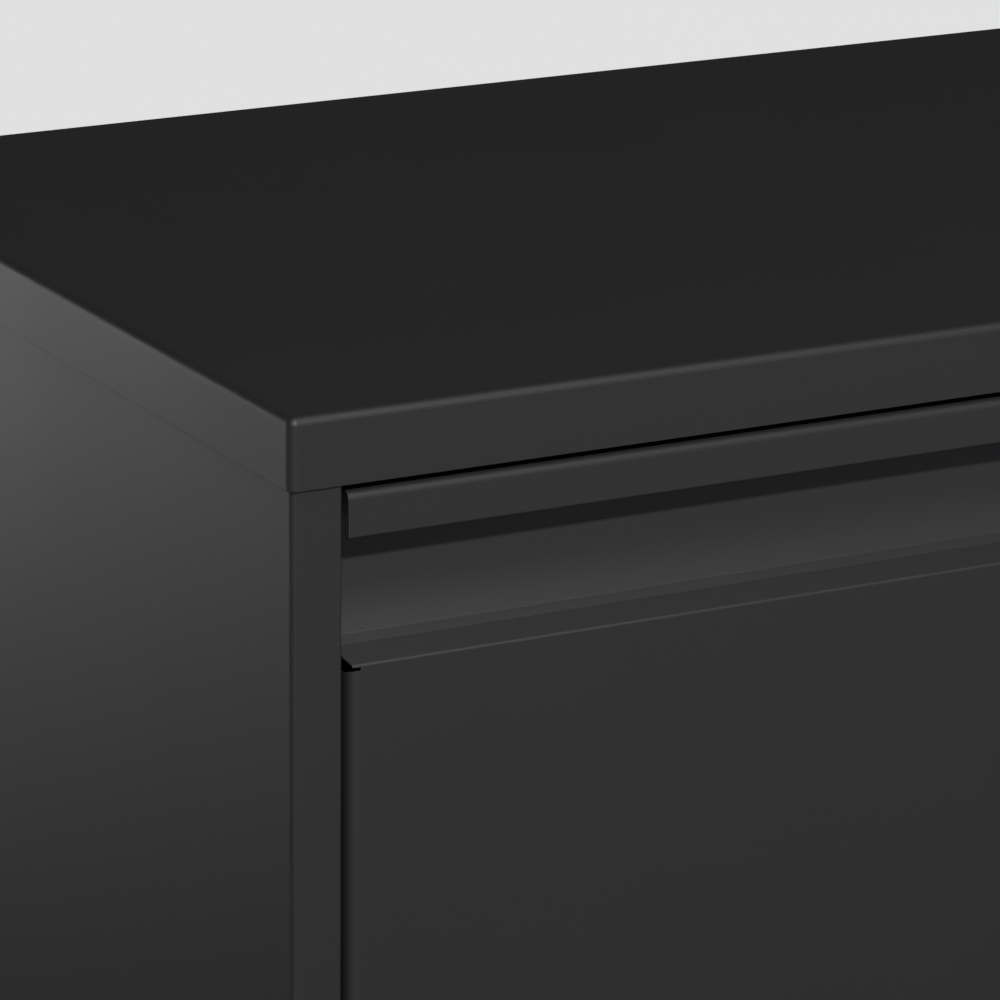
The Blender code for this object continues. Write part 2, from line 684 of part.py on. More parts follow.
def make_drawer_fittings(drawer, bottom, motion):
    """Lock catch and rubber bumpers of a drawer."""
    catch_top = bottom + BOX_HEIGHT - CATCH_DROP_FROM_BOX_TOP
    inner = BOX_HALF_WIDTH + GAP
    tip = inner + CATCH_REACH
    skin = inner + CATCH_SHEET
    front, back = depth(CATCH_FRONT), depth(CATCH_FRONT + CATCH_LENGTH)
    outline = [(inner, front), (tip, front), (tip, front + CATCH_SHEET)]
    outline += [(skin, front + CATCH_SHEET), (skin, back), (inner, back)]
    bm = along_z(outline, catch_top - CATCH_HEIGHT, catch_top)
    add_object(f"{drawer}_lock_catch", bm, ZINC, motion)
    bumper_front = BOX_BACK + SHEET + GAP
    profile = [
        (0, 0),
        (BUMPER_RADIUS, 0),
        (BUMPER_RADIUS, BUMPER_LENGTH * BUMPER_SHOULDER),
        (BUMPER_RADIUS * BUMPER_TIP, BUMPER_LENGTH),
        (0, BUMPER_LENGTH),
    ]
    for word, side in (("left", -1), ("right", 1)):
        centre = (side * BUMPER_X, depth(bumper_front), bottom + BOX_HEIGHT / 2)
        bm = turn_profile(profile, centre, (0, 1, 0), 20)
        add_object(f"{drawer}_bumper_{word}", bm, RUBBER, motion)


def make_drawer(drawer, top):
    bottom = top - FRONT_HEIGHT + BOX_RISE
    motion = add_axis(f"{drawer}_motion", (0, depth(CAP_PROUD), bottom + SLIDE_RISE))
    make_drawer_front(drawer, top, motion)
    make_drawer_box(drawer, bottom, motion)
    make_drawer_fittings(drawer, bottom, motion)
    make_slides(drawer, bottom, motion)


def make_lock():
    """Cylinder lock in the apron: housing, plug and the cam with its drive pin."""
    centre = Vector((LOCK_X, depth(0), LOCK_Z))
    front = -LOCK_PROUD
    housing = [
        (LOCK_BORE_RADIUS, front),
        (LOCK_FLANGE_RADIUS - EDGE_BREAK, front),
        (LOCK_FLANGE_RADIUS, front + EDGE_BREAK),
        (LOCK_FLANGE_RADIUS, -GAP),
        (LOCK_BARREL_RADIUS, -GAP),
        (LOCK_BARREL_RADIUS, BARREL_BACK),
        (LOCK_BORE_RADIUS, BARREL_BACK),
    ]
    add_object("lock_housing", turn_profile(housing, centre, (0, 1, 0)), CHROME)
    axis = add_axis("lock_plug_axis", centre)
    plug_back = CAM_FRONT - GAP
    profile = [
        (0, front + GAP),
        (PLUG_RADIUS - EDGE_BREAK / 2, front + GAP),
        (PLUG_RADIUS, front + GAP + EDGE_BREAK / 2),
        (PLUG_RADIUS, plug_back),
        (0, plug_back),
    ]
    plug = add_object("lock_plug", turn_profile(profile, centre, (0, 1, 0)), CHROME, axis)
    wide, tall, deep = KEYWAY
    keyway = box_mesh(
        (LOCK_X - wide / 2, depth(2 * front), LOCK_Z - tall / 2),
        (LOCK_X + wide / 2, depth(front + deep), LOCK_Z + tall / 2),
    )
    combine(plug, "keyway", keyway, "DIFFERENCE")
    arc = [math.radians(60 + 15 * step) for step in range(17)]
    outline = [(LOCK_X + CAM_RADIUS * math.cos(a), LOCK_Z + CAM_RADIUS * math.sin(a)) for a in arc]
    tip = LOCK_X + CAM_RADIUS + PIN_RADIUS + EDGE_BREAK
    tip_half = PIN_RADIUS + EDGE_BREAK
    outline += [(tip, LOCK_Z - tip_half), (tip, LOCK_Z + tip_half)]
    bm = along_y(outline, depth(CAM_FRONT), depth(CAM_FRONT + CAM_THICKNESS))
    cam = add_object("lock_cam", bm, ZINC, axis)
    pin_spot = (LOCK_X + CAM_RADIUS, 0, LOCK_Z)
    pin_back = BAR_FRONT + BAR_THICKNESS + GAP
    pin = rods_mesh(
        [pin_spot], (0, 1, 0), PIN_RADIUS, depth(CAM_FRONT + CAM_THICKNESS / 2), depth(pin_back), 20
    )
    combine(cam, "cam_pin", pin, "UNION")


def make_lock_bar():
    """Flat bar with a slotted arm over the cam's pin and a lug below each drawer's catch.

    It hangs on the cam at rest, and the cam lifts it to bring the lugs in front of the catches.
    """
    inner, outer = BAR_X
    arm_end = LOCK_X - ARM_REACH
    arm_top = LOCK_Z + ARM_RISE
    arm_low = LOCK_Z - ARM_REACH
    lug_tip = inner - LUG_REACH
    outline = [(outer, arm_top), (arm_end, arm_top), (arm_end, arm_low), (inner, arm_low)]
    for top in (UPPER_TOP, UPPER_TOP - PITCH):
        box_top = top - FRONT_HEIGHT + BOX_RISE + BOX_HEIGHT
        lug_high = box_top - CATCH_DROP_FROM_BOX_TOP - CATCH_HEIGHT - LUG_CLEARANCE
        lug_low = lug_high - LUG_HEIGHT
        outline += [(inner, lug_high), (lug_tip, lug_high), (lug_tip, lug_low), (inner, lug_low)]
    outline += [(inner, lug_low - BAR_TAIL), (outer, lug_low - BAR_TAIL)]
    bm = along_y(outline, depth(BAR_FRONT), depth(BAR_FRONT + BAR_THICKNESS))
    origin = ((inner + outer) / 2, depth(BAR_FRONT), LOCK_Z)
    bar = add_object("lock_bar", bm, ZINC, None, origin)
    # The pin runs ahead of the bar halfway through its turn, so the slot is deeper above it.
    reach = PIN_RADIUS + SLOT_PLAY
    slot = box_mesh(
        (LOCK_X - reach, depth(CAM_FRONT), LOCK_Z - reach),
        (LOCK_X + CAM_RADIUS + reach, depth(CATCH_FRONT), LOCK_Z + PIN_RADIUS + PIN_LEAD),
    )
    combine(bar, "cam_slot", slot, "DIFFERENCE")


def make_glides():
    """Four levelling glides, screwed fully in: a nylon foot under a threaded stem."""
    foot = [
        (0, 0),
        (GLIDE_FOOT_RADIUS - FOOT_BREAK, 0),
        (GLIDE_FOOT_RADIUS, FOOT_BREAK),
        (GLIDE_FOOT_RADIUS, GLIDE_FOOT_HEIGHT / 2),
        (FOOT_NECK_RADIUS, GLIDE_FOOT_HEIGHT - GAP),
        (0, GLIDE_FOOT_HEIGHT - GAP),
    ]
    stem = [
        (0, GLIDE_FOOT_HEIGHT),
        (GLIDE_STEM_RADIUS, GLIDE_FOOT_HEIGHT),
        (GLIDE_STEM_RADIUS, GLIDE_STEM_TOP - EDGE_BREAK),
        (GLIDE_STEM_RADIUS - EDGE_BREAK, GLIDE_STEM_TOP),
        (0, GLIDE_STEM_TOP),
    ]
    for row, back in zip(("front", "rear"), GLIDE_DEPTHS):
        for word, side in (("left", -1), ("right", 1)):
            centre = (side * GLIDE_X, depth(back), 0)
            axis = add_axis(f"glide_{row}_{word}_axis", centre)
            bm = turn_profile(foot, centre, (0, 0, 1), 28)
            add_object(f"glide_foot_{row}_{word}", bm, NYLON, axis)
            bm = turn_profile(stem, centre, (0, 0, 1), 20)
            add_object(f"glide_stem_{row}_{word}", bm, ZINC, axis)


def make_counterweight():
    long, deep, tall = COUNTERWEIGHT
    low = (-long / 2, depth(COUNTERWEIGHT_DEPTH), DECK_TOP + GAP)
    high = (long / 2, depth(COUNTERWEIGHT_DEPTH + deep), DECK_TOP + GAP + tall)
    add_object("counterweight", box_mesh(low, high), BLACK_IRON)


def main():
    clear_scene()
    make_cap()
    make_side_panel("left_side_panel", -1)
    make_side_panel("right_side_panel", 1)
    make_back_panel()
    make_bottom_panel()
    make_rails()
    for row, front in (("front", UPRIGHT_FRONT), ("rear", UPRIGHT_REAR)):
        for word, side in (("left", -1), ("right", 1)):
            make_upright(f"upright_{row}_{word}", side, front)
    make_counterweight()
    make_drawer("upper_drawer", UPPER_TOP)
    make_drawer("lower_drawer", UPPER_TOP - PITCH)
    make_lock()
    make_lock_bar()
    make_glides()


main()
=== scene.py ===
import json
import math

import bmesh
import bpy
from mathutils import Matrix, Vector


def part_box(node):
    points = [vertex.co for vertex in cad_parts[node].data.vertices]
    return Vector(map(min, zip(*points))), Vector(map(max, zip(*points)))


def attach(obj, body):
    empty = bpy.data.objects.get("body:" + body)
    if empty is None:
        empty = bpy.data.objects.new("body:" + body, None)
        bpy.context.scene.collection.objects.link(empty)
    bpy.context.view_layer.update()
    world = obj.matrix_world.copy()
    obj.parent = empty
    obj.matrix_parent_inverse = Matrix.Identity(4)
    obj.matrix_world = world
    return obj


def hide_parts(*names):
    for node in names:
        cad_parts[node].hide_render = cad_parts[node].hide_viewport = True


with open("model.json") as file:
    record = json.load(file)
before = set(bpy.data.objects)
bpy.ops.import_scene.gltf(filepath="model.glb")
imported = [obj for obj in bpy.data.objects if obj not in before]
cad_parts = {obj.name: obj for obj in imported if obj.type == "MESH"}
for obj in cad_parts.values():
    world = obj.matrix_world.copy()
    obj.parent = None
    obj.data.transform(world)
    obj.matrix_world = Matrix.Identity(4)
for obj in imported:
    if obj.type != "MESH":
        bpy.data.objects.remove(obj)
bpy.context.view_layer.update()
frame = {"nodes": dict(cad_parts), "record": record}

# Sheet metal, in metres
SHEET = 0.0009
HEM_RADIUS = 0.0013
CAP_RADIUS = 0.0034
POST_WIDTH = 0.0204
POST_RADIUS = 0.0023
POST_INNER_RADIUS = 0.0012
POST_RETURN = 0.0200
POST_FLANGE = 0.0060
REAR_RETURN = 0.0150
EDGE_BREAK = 0.0002
BEND_SEGMENTS = 12
CAP_SEGMENTS = 10

cap_low, cap_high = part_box("top_cap")
front_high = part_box("upper_drawer_front")[1]
CAP_FRONT = cap_low.y
CAP_TOP = cap_high.z
CAP_SIDE = cap_high.x


# ---------------------------------------------------------------- folded sheet

def trace(start, heading, moves, segments=BEND_SEGMENTS):
    """Points of a folded section: ('go', length) runs straight, ('bend', degrees, radius) turns left."""
    points = [Vector(start)]
    angle = math.radians(heading)
    for move in moves:
        if move[0] == "go":
            points.append(points[-1] + move[1] * Vector((math.cos(angle), math.sin(angle))))
            continue
        turn = math.radians(move[1])
        count = max(4, round(segments * abs(move[1]) / 90))
        chord = 2 * move[2] * math.sin(abs(turn) / count / 2)
        for step in range(count):
            middle = angle + turn * (step + 0.5) / count
            points.append(points[-1] + chord * Vector((math.cos(middle), math.sin(middle))))
        angle += turn
    return points


def thicken(path, thickness):
    """Outline of a sheet whose left face is the path."""
    offset = []
    for index, point in enumerate(path):
        before = (point - path[index - 1]).normalized() if index else None
        after = (path[index + 1] - point).normalized() if index + 1 < len(path) else None
        before = before or after
        after = after or before
        normal = Vector((before.y + after.y, -before.x - after.x)).normalized()
        scale = 1 / max(normal.dot(Vector((after.y, -after.x))), 0.3)
        offset.append(point + thickness * scale * normal)
    return path + offset[::-1]


def new_piece(name, bm, material, body, nodes=(), smooth=40):
    """Makes a piece from world-space geometry, and ties it to its body, slot and CAD nodes."""
    mesh = bpy.data.meshes.new(name)
    bm.to_mesh(mesh)
    bm.free()
    piece = bpy.data.objects.new(name, mesh)
    bpy.context.scene.collection.objects.link(piece)
    mesh.materials.append(material)
    mesh.shade_smooth()
    mesh.set_sharp_from_angle(angle=math.radians(smooth))
    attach(piece, body)
    if nodes:
        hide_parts(*nodes)
    return piece


def extrude_outline(outline, frame_axes, low, high):
    """Prism of an outline: frame_axes are the outline's two directions and the run's."""
    first, second, run = (Vector(axis) for axis in frame_axes)
    bm = bmesh.new()
    ring = [bm.verts.new(p[0] * first + p[1] * second + low * run) for p in outline]
    face = bm.faces.new(ring)
    extruded = bmesh.ops.extrude_face_region(bm, geom=[face])
    moved = [item for item in extruded["geom"] if isinstance(item, bmesh.types.BMVert)]
    bmesh.ops.translate(bm, verts=moved, vec=(high - low) * run)
    bmesh.ops.recalc_face_normals(bm, faces=bm.faces)
    return bm


def flat_normals(piece):
    """Keeps flat metal flat next to its bends."""
    weighted = piece.modifiers.new("flat_normals", "WEIGHTED_NORMAL")
    weighted.weight = 100
    weighted.keep_sharp = True


def round_edges(piece, width=0.00025, segments=2, angle=40):
    """Breaks a piece's sharp edges, as a press and a coat of paint leave them."""
    bevel = piece.modifiers.new("broken_edges", "BEVEL")
    bevel.width = width
    bevel.segments = segments
    bevel.limit_method = "ANGLE"
    bevel.angle_limit = math.radians(angle)
    flat_normals(piece)


def add_sheet(piece, thickness=SHEET):
    """Gives a folded surface the sheet's thickness, on its inner side."""
    solidify = piece.modifiers.new("sheet", "SOLIDIFY")
    solidify.thickness = thickness
    solidify.offset = -1
    solidify.use_even_offset = True


# ---------------------------------------------------------------- materials

def node(tree, kind, **values):
    """Adds a shader node with these settings."""
    made = tree.nodes.new(kind)
    for key, value in values.items():
        setattr(made, key, value)
    return made


def group_socket(tree, name, direction, kind, value=None):
    socket = tree.interface.new_socket(name, in_out=direction, socket_type=f"NodeSocket{kind}")
    if value is not None:
        socket.default_value = value


def math_node(tree, operation, first, second):
    """Result of an operation on two values, each a number or an output."""
    made = node(tree, "ShaderNodeMath", operation=operation)
    for socket, value in zip(made.inputs, (first, second)):
        if isinstance(value, (int, float)):
            socket.default_value = value
        else:
            tree.links.new(value, socket)
    return made.outputs[0]


PATCH_SCALE = 14
RUB_SCALE = 220
RUB_START = 0.62
RUB_FULL = 0.76
BUMP_DEPTH = 0.0002


def finish_group():
    """Shared surface detail: fine grain, slow patches from spraying or plating, and a few fine rubs."""
    tree = bpy.data.node_groups.new("sheet_finish", "ShaderNodeTree")
    group_socket(tree, "Color", "INPUT", "Color")
    group_socket(tree, "Roughness", "INPUT", "Float", 0.5)
    group_socket(tree, "Grain", "INPUT", "Float", 1400)
    group_socket(tree, "Stretch", "INPUT", "Vector", (1, 1, 1))
    group_socket(tree, "Patches", "INPUT", "Float", 0.1)
    group_socket(tree, "Rubs", "INPUT", "Float", 0.1)
    group_socket(tree, "Color", "OUTPUT", "Color")
    group_socket(tree, "Roughness", "OUTPUT", "Float")
    group_socket(tree, "Height", "OUTPUT", "Float")
    given = node(tree, "NodeGroupInput")
    result = node(tree, "NodeGroupOutput")
    place = node(tree, "ShaderNodeTexCoord")
    stretched = node(tree, "ShaderNodeVectorMath", operation="MULTIPLY")
    tree.links.new(place.outputs["Object"], stretched.inputs[0])
    tree.links.new(given.outputs["Stretch"], stretched.inputs[1])
    grain = node(tree, "ShaderNodeTexNoise")
    grain.inputs["Detail"].default_value = 3
    tree.links.new(stretched.outputs[0], grain.inputs["Vector"])
    tree.links.new(given.outputs["Grain"], grain.inputs["Scale"])
    patches = node(tree, "ShaderNodeTexNoise")
    patches.inputs["Scale"].default_value = PATCH_SCALE
    patches.inputs["Detail"].default_value = 4
    tree.links.new(place.outputs["Object"], patches.inputs["Vector"])
    rubs = node(tree, "ShaderNodeTexNoise")
    rubs.inputs["Scale"].default_value = RUB_SCALE
    rubs.inputs["Detail"].default_value = 2
    tree.links.new(stretched.outputs[0], rubs.inputs["Vector"])
    worn = node(tree, "ShaderNodeMapRange")
    worn.inputs["From Min"].default_value = RUB_START
    worn.inputs["From Max"].default_value = RUB_FULL
    tree.links.new(rubs.outputs["Fac"], worn.inputs["Value"])
    patchy = math_node(tree, "SUBTRACT", patches.outputs["Fac"], 0.5)
    patchy = math_node(tree, "MULTIPLY", patchy, given.outputs["Patches"])
    rubbed = math_node(tree, "MULTIPLY", worn.outputs[0], given.outputs["Rubs"])
    rough = math_node(tree, "ADD", given.outputs["Roughness"], patchy)
    rough = math_node(tree, "SUBTRACT", rough, rubbed)
    speckle = math_node(tree, "SUBTRACT", grain.outputs["Fac"], 0.5)
    speckle = math_node(tree, "MULTIPLY", speckle, given.outputs["Patches"])
    tree.links.new(math_node(tree, "ADD", rough, speckle), result.inputs["Roughness"])
    tone = math_node(tree, "ADD", math_node(tree, "ADD", patchy, speckle), 1)
    tinted = node(tree, "ShaderNodeVectorMath", operation="SCALE")
    tree.links.new(given.outputs["Color"], tinted.inputs[0])
    tree.links.new(tone, tinted.inputs["Scale"])
    tree.links.new(tinted.outputs[0], result.inputs["Color"])
    tree.links.new(grain.outputs["Fac"], result.inputs["Height"])
    return tree


FINISH = finish_group()


def surface(
    name, color, roughness, metallic=0, grain=1400, stretch=(1, 1, 1), patches=0.1, rubs=0.1, bump=0.05
):
    """A finish: its color and roughness vary by patches and rubs, over a fine grain."""
    material = bpy.data.materials.new(name)
    material.use_nodes = True
    tree = material.node_tree
    shader = tree.nodes["Principled BSDF"]
    shader.inputs["Metallic"].default_value = metallic
    finish = node(tree, "ShaderNodeGroup", node_tree=FINISH)
    finish.inputs["Color"].default_value = (*color, 1)
    finish.inputs["Roughness"].default_value = roughness
    finish.inputs["Grain"].default_value = grain
    finish.inputs["Stretch"].default_value = stretch
    finish.inputs["Patches"].default_value = patches
    finish.inputs["Rubs"].default_value = rubs
    bump_node = node(tree, "ShaderNodeBump")
    bump_node.inputs["Strength"].default_value = bump
    bump_node.inputs["Distance"].default_value = BUMP_DEPTH
    tree.links.new(finish.outputs["Color"], shader.inputs["Base Color"])
    tree.links.new(finish.outputs["Roughness"], shader.inputs["Roughness"])
    tree.links.new(finish.outputs["Height"], bump_node.inputs["Height"])
    tree.links.new(bump_node.outputs["Normal"], shader.inputs["Normal"])
    return material


BLACK = surface("black_powder_coat", (0.010, 0.010, 0.010), 0.55, patches=0.05, rubs=0.02, bump=0.03)
MATERIALS = {
    "cabinet_paint": BLACK,
    "inner_paint": surface("thin_inner_coat", (0.012, 0.012, 0.013), 0.6, patches=0.16, rubs=0.06),
    "zinc_plate": surface(
        "zinc_plate", (0.56, 0.57, 0.58), 0.36, 1, grain=900, patches=0.25, rubs=0.12, bump=0.08,
    ),
    "slide_zinc": surface(
        "drawn_zinc_strip", (0.62, 0.63, 0.64), 0.32, 1,
        grain=1600, stretch=(1, 0.03, 1), patches=0.18, rubs=0.10, bump=0.12,
    ),
    "lock_chrome": surface(
        "lock_chrome", (0.72, 0.72, 0.73), 0.12, 1, grain=2600, patches=0.06, rubs=0.04, bump=0.02,
    ),
    "glide_nylon": surface("black_nylon", (0.020, 0.020, 0.020), 0.45, grain=2200, patches=0.08, bump=0.10),
    "bumper_rubber": surface(
        "matt_rubber", (0.028, 0.028, 0.028), 0.85, grain=1800, patches=0.12, bump=0.20,
    ),
    "raw_steel": surface(
        "mill_scale_steel", (0.16, 0.155, 0.15), 0.5, 1, grain=500, patches=0.5, rubs=0.15, bump=0.2,
    ),
}


# ---------------------------------------------------------------- case

housing_low, housing_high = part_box("lock_housing")
LOCK = Vector(((housing_low.x + housing_high.x) / 2, CAP_FRONT, (housing_low.z + housing_high.z) / 2))
LOCK_HOLE = 0.0083

def cut_lock_hole(bm):
    """Opens the front of the cap for the lock's barrel."""
    flat = [face for face in bm.faces if face.normal.y < -0.999]
    front = max(flat, key=lambda face: face.calc_area())
    rim = list(front.edges)
    bmesh.ops.delete(bm, geom=[front], context="FACES_ONLY")
    upright = Matrix.Translation(LOCK) @ Matrix.Rotation(math.pi / 2, 4, "X")
    hole = bmesh.ops.create_circle(bm, segments=40, radius=LOCK_HOLE, matrix=upright)["verts"]
    rim += list({edge for vert in hole for edge in vert.link_edges})
    bmesh.ops.triangle_fill(bm, use_beauty=True, edges=rim, normal=(0, -1, 0))


def make_cap():
    """Top cap: one sheet with folded edges and a hole for the lock."""
    bm = bmesh.new()
    place = Matrix.Translation((cap_low + cap_high) / 2) @ Matrix.Diagonal((*(cap_high - cap_low), 1))
    bmesh.ops.create_cube(bm, size=1, matrix=place)
    floor = min(bm.faces, key=lambda face: face.calc_center_median().z)
    bmesh.ops.delete(bm, geom=[floor], context="FACES_ONLY")
    folds = [edge for edge in bm.edges if len(edge.link_faces) == 2]
    bmesh.ops.bevel(bm, geom=folds, offset=CAP_RADIUS, segments=CAP_SEGMENTS, profile=0.5, affect="EDGES")
    cut_lock_hole(bm)
    cap = new_piece("cap", bm, BLACK, "case", ["top_cap"])
    add_sheet(cap)
    round_edges(cap)


def make_side_panels():
    """Each side is one sheet: rear return, side, post and the post's inner folds."""
    low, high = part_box("left_side_panel")
    moves = [
        ("go", REAR_RETURN - POST_RADIUS),
        ("bend", 90, POST_RADIUS - SHEET),
        ("go", high.y - low.y - 2 * POST_RADIUS),
        ("bend", 90, POST_RADIUS - SHEET),
        ("go", POST_WIDTH - POST_RADIUS - POST_INNER_RADIUS),
        ("bend", 90, POST_INNER_RADIUS - SHEET),
        ("go", POST_RETURN - 2 * POST_INNER_RADIUS),
        ("bend", 90, POST_INNER_RADIUS - SHEET),
        ("go", POST_FLANGE),
    ]
    path = trace((low.x + REAR_RETURN, high.y - SHEET), 180, moves)
    for word, side in (("left", 1), ("right", -1)):
        axes = ((side, 0, 0), (0, 1, 0), (0, 0, 1))
        bm = extrude_outline(thicken(path, SHEET), axes, low.z, high.z)
        panel = new_piece(
            f"side_panel_{word}", bm, BLACK, "case", [f"{word}_side_panel"]
        )
        round_edges(panel)


# ---------------------------------------------------------------- drawer fronts

FACE_DROP = 0.0664
FACE_RADIUS = 0.0014
EDGE_RADIUS = 0.0052
BOTTOM_RADIUS = 0.0020
FLARE_START = 0.0008
FLARE_END = 0.0040
CORNER_CUT = 0.0018
LEDGE_DEPTH = 0.0128
LEDGE_SLOPE = 30.0
SET_RUN = 0.0045
SET_TURN = 9.0
SET_RADIUS = 0.0010
CREASE_RADIUS = 0.0012
WALL_FOOT = 66.0
WALL_LEAN = 6.0
WALL_RADIUS = 0.0600
WEB_RADIUS = 0.0030
LIP_RADIUS = 0.0036
LIP_HEIGHT = 0.0183
HEM_HEIGHT = 0.0080
FRONT_HALF = front_high.x
RELIEF = 0.0008
CUT_SLOPE = 0.25
CUT_TOP = 0.0200
SIDE_RETURN = 0.0240
BOTTOM_RETURN = 0.0160


def tangent(radius, degrees):
    """Length that a bend takes from the straight run on each side of it."""
    return radius * math.tan(math.radians(degrees) / 2)


def pull_path():
    """Section of the pull, from the face's top edge to the hem of the lip, as (depth, height)."""
    back_slope = LEDGE_SLOPE + SET_TURN
    top_corner = tangent(FACE_RADIUS, 90 - LEDGE_SLOPE)
    front_depth = LEDGE_DEPTH - SET_RUN * math.cos(math.radians(back_slope))
    front_run = front_depth / math.cos(math.radians(LEDGE_SLOPE))
    set_corner = tangent(SET_RADIUS, SET_TURN)
    start = Vector((0, -top_corner))
    moves = [
        ("bend", LEDGE_SLOPE - 90, FACE_RADIUS),
        ("go", FLARE_START),
        ("go", FLARE_END - FLARE_START),
        ("go", front_run - top_corner - FLARE_END - set_corner),
        ("bend", SET_TURN, SET_RADIUS),
        ("go", SET_RUN - set_corner - tangent(CREASE_RADIUS, WALL_FOOT - back_slope)),
        ("bend", WALL_FOOT - back_slope, CREASE_RADIUS),
        ("bend", 90 - WALL_LEAN - WALL_FOOT, WALL_RADIUS),
    ]
    wall = trace(start, 90, moves)[-1]
    web_corner = WEB_RADIUS * (1 + math.sin(math.radians(WALL_LEAN)))
    moves += [
        ("go", (FACE_DROP - SHEET - web_corner - wall.y) / math.cos(math.radians(WALL_LEAN))),
        ("bend", 90 + WALL_LEAN, WEB_RADIUS),
    ]
    web = trace(start, 90, moves)[-1]
    inner_lip = LIP_RADIUS - SHEET
    moves += [
        ("go", web.x - SHEET - inner_lip),
        ("bend", 90, inner_lip),
        ("go", LIP_HEIGHT - LIP_RADIUS - HEM_RADIUS),
        ("bend", 180, HEM_RADIUS - SHEET),
        ("go", HEM_HEIGHT),
    ]
    return trace(start, 90, moves)


def add_flap(bm, row, path, frame_axes):
    """Carries a row of points along a folded path, and returns the points made."""
    first, second = (Vector(axis) for axis in frame_axes)
    made = []
    for before, after in zip(path, path[1:]):
        move = after - before
        fresh = [bm.verts.new(vert.co + move.x * first + move.y * second) for vert in row]
        bm.faces.new((row[0], row[1], fresh[1], fresh[0]))
        made += fresh
        row = fresh
    return made


def make_drawer_front(drawer):
    """Face, pull and returns are one folded sheet: the pull runs the full width and is open at its ends."""
    low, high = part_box(f"{drawer}_front")
    half = FRONT_HALF - EDGE_RADIUS
    pull = pull_path()
    face_edge = high.z - FACE_DROP
    face_low = low.z + BOTTOM_RADIUS
    heights = (face_low, face_low + RELIEF, face_edge - FACE_RADIUS - RELIEF, face_edge + pull[0].y)
    bm = bmesh.new()
    left, right = ([bm.verts.new((x, low.y, z)) for z in heights] for x in (-half, half))
    for index in range(len(heights) - 1):
        bm.faces.new((left[index], right[index], right[index + 1], left[index + 1]))
    for vert in add_flap(bm, (left[3], right[3]), pull, ((0, 1, 0), (0, 0, 1))):
        on_lip = vert.co.z > face_edge + CUT_TOP
        along = (vert.co.y - low.y - FLARE_START) / (FLARE_END - FLARE_START)
        flare = 1 if on_lip else min(1, max(0, along))
        vert.co.x = math.copysign(FRONT_HALF - CORNER_CUT * (1 - flare), vert.co.x)
    side = trace((0, 0), 0, [("bend", 90, EDGE_RADIUS), ("go", SIDE_RETURN - EDGE_RADIUS)])
    returns = add_flap(bm, (left[1], left[2]), side, ((-1, 0, 0), (0, 1, 0)))
    returns += add_flap(bm, (right[2], right[1]), side, ((1, 0, 0), (0, 1, 0)))
    for vert in returns:
        if vert.co.z > (low.z + high.z) / 2:
            vert.co.z -= CUT_SLOPE * min(vert.co.y - low.y, EDGE_RADIUS)
    bottom = trace((0, 0), 0, [("bend", 90, BOTTOM_RADIUS), ("go", BOTTOM_RETURN - BOTTOM_RADIUS)])
    add_flap(bm, (right[0], left[0]), bottom, ((0, 0, -1), (0, 1, 0)))
    front = new_piece(f"{drawer}_pull_front", bm, BLACK, drawer, [f"{drawer}_front"])
    add_sheet(front)
    round_edges(front, 0.0003)


# ---------------------------------------------------------------- fittings

def turn(bm, profile, centre, axis, segments=32, closed=False):
    """Adds a turned shape: profile is (distance along the axis, radius)."""
    axis = Vector(axis).normalized()
    side = axis.orthogonal().normalized()
    other = axis.cross(side)
    rings = []
    for along, radius in profile:
        middle = Vector(centre) + along * axis
        spokes = segments if radius else 1
        turns = [math.tau * step / spokes for step in range(spokes)]
        spread = [radius * (math.cos(angle) * side + math.sin(angle) * other) for angle in turns]
        rings.append([bm.verts.new(middle + arm) for arm in spread])
    pairs = list(zip(rings, rings[1:]))
    if closed:
        pairs.append((rings[-1], rings[0]))
    for first, second in pairs:
        for step in range(segments):
            after = (step + 1) % segments
            corners = (first[step % len(first)], first[after % len(first)],
                       second[after % len(second)], second[step % len(second)])
            bm.faces.new(list(dict.fromkeys(corners)))


def turned_piece(name, shapes, material, body, nodes=(), segments=32, closed=False):
    """One piece from several turned shapes: (profile, centre, axis)."""
    bm = bmesh.new()
    for profile, centre, axis in shapes:
        turn(bm, profile, centre, axis, segments, closed)
    bmesh.ops.recalc_face_normals(bm, faces=bm.faces)
    return new_piece(name, bm, material, body, nodes)


RIVET = ((0, 0.0030), (0.0003, 0.0029), (0.0007, 0.0022), (0.0009, 0.0012), (0.0009, 0))
SCREW_HEAD = (
    (0, 0.0034), (0.0007, 0.0034), (0.0013, 0.0028), (0.0015, 0.0018), (0.0008, 0.0012), (0.0008, 0),
)
BALL_GAP = 0.0020
BALL_RADIUS = 0.0009
BALLS_IN_ROW = 14
BALL_PITCH = 0.0085
FIRST_BALL = 0.0120
MEMBER_WEB = 0.0013
SCREW_PLACES = (0.020, 0.180, 0.340)
CASE_RIVET_X = 0.4482
CASE_RIVET_RISE = 0.0400
CASE_RIVET_PITCH = 0.0760
CASE_RIVETS = 9
BOX_RIVETS = 4
BOX_RIVET_INSET = 0.0075
BOX_RIVET_END = 0.0300
THREAD_PITCH = 0.0015
THREAD_CREST = 0.0050
THREAD_ROOT = 0.0042
THREAD_START = 0.0020
THREAD_FORM = ((0.45, THREAD_ROOT), (0.55, THREAD_ROOT), (0.95, THREAD_CREST), (1, THREAD_CREST))


